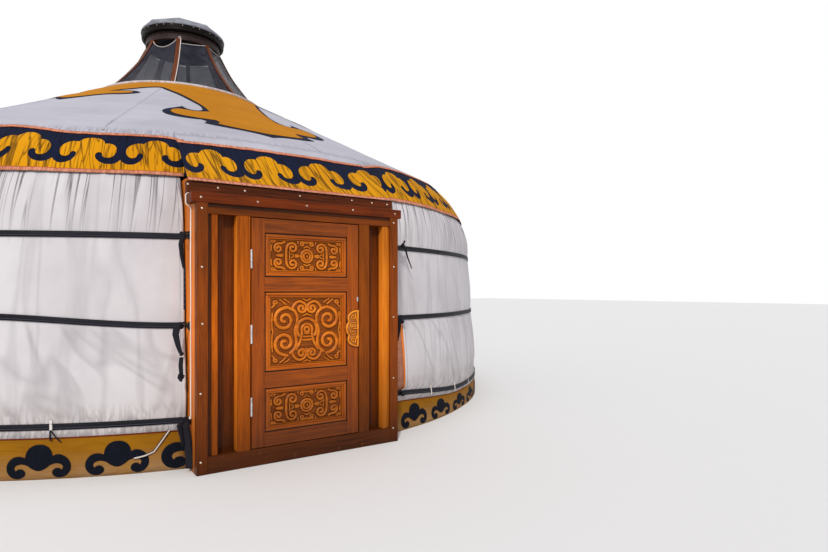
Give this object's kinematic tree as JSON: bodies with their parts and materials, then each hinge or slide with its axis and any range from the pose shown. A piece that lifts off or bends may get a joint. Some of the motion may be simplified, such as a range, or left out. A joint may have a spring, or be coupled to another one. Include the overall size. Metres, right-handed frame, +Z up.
{
  "type": "yurt",
  "caption": "Round felt tent on a lattice wall, with a patterned eave band, a conical roof, a glazed crown with a domed cap and a carved wooden door in a deep frame.",
  "frame": {"origin": "on the ground, under the middle of the whole", "axes": "+Z up, the door faces -Y, +X to the right of someone who stands outside and faces the door"},
  "size_m": [8.28, 8.439, 5.059],
  "materials": {
    "canvas": "matte, woven",
    "skirt_cloth": "matte, woven",
    "band_cloth": "matte, woven",
    "lath_wood": "painted, satin",
    "crown_wood": "weathered",
    "clear_sheet": "clear, creased",
    "cap_hide": "matte",
    "cap_cloth": "matte",
    "strap_web": "matte",
    "white_cord": "matte",
    "dark_wood": "varnished, satin",
    "orange_wood": "varnished, satin",
    "pull_wood": "varnished, satin",
    "hinge_steel": "satin"
  },
  "bodies": {
    "yurt": {"lattice_front_right": "lath_wood", "wall_cover_front_right": "canvas", "roof_cover_front_right": "canvas", "lattice_back_right": "lath_wood", "wall_cover_back_right": "canvas", "roof_cover_back_right": "canvas", "lattice_back_left": "lath_wood", "wall_cover_back_left": "canvas", "roof_cover_back_left": "canvas", "lattice_front_left": "lath_wood", "wall_cover_front_left": "canvas", "roof_cover_front_left": "canvas", "skirt_right": "skirt_cloth", "roof_poles_right": "lath_wood", "eave_band_right": "band_cloth", "skirt_left": "skirt_cloth", "roof_poles_left": "lath_wood", "eave_band_left": "band_cloth", "eave_band_over_door": "band_cloth", "crown_lower_ring": "crown_wood", "crown_ribs": "crown_wood", "crown_glazing": "clear_sheet", "crown_upper_ring": "crown_wood", "cap_rim": "cap_hide", "cap_cover": "cap_cloth", "girth_strap_upper": "strap_web", "girth_strap_middle": "strap_web", "girth_strap_lower": "strap_web", "strap_rings": "strap_web", "frame_cord": "white_cord", "door_threshold": "dark_wood", "door_post_left": "dark_wood", "door_post_right": "dark_wood", "frame_side_boards": "orange_wood", "frame_lintel": "dark_wood", "header_lower": "dark_wood", "header_upper": "dark_wood", "frame_head_rail": "orange_wood", "door_mullions": "orange_wood", "door_stops": "orange_wood", "sidelight_stiles": "orange_wood", "sidelight_panels": "dark_wood", "frame_hinge_halves": "hinge_steel"},
    "door_leaf": {"leaf_frame": "orange_wood", "carved_panel_top": "orange_wood", "carved_panel_middle": "orange_wood", "carved_panel_bottom": "orange_wood", "door_pull": "pull_wood", "leaf_hinge_halves": "hinge_steel"}
  },
  "joints": [
    {"name": "door_hinge", "type": "hinge", "parent": "yurt", "child": "door_leaf", "pos_m": [-0.47, -4.2055, 1], "axis": [0, 0, -1], "range_deg": [0, 110]}
  ]
}
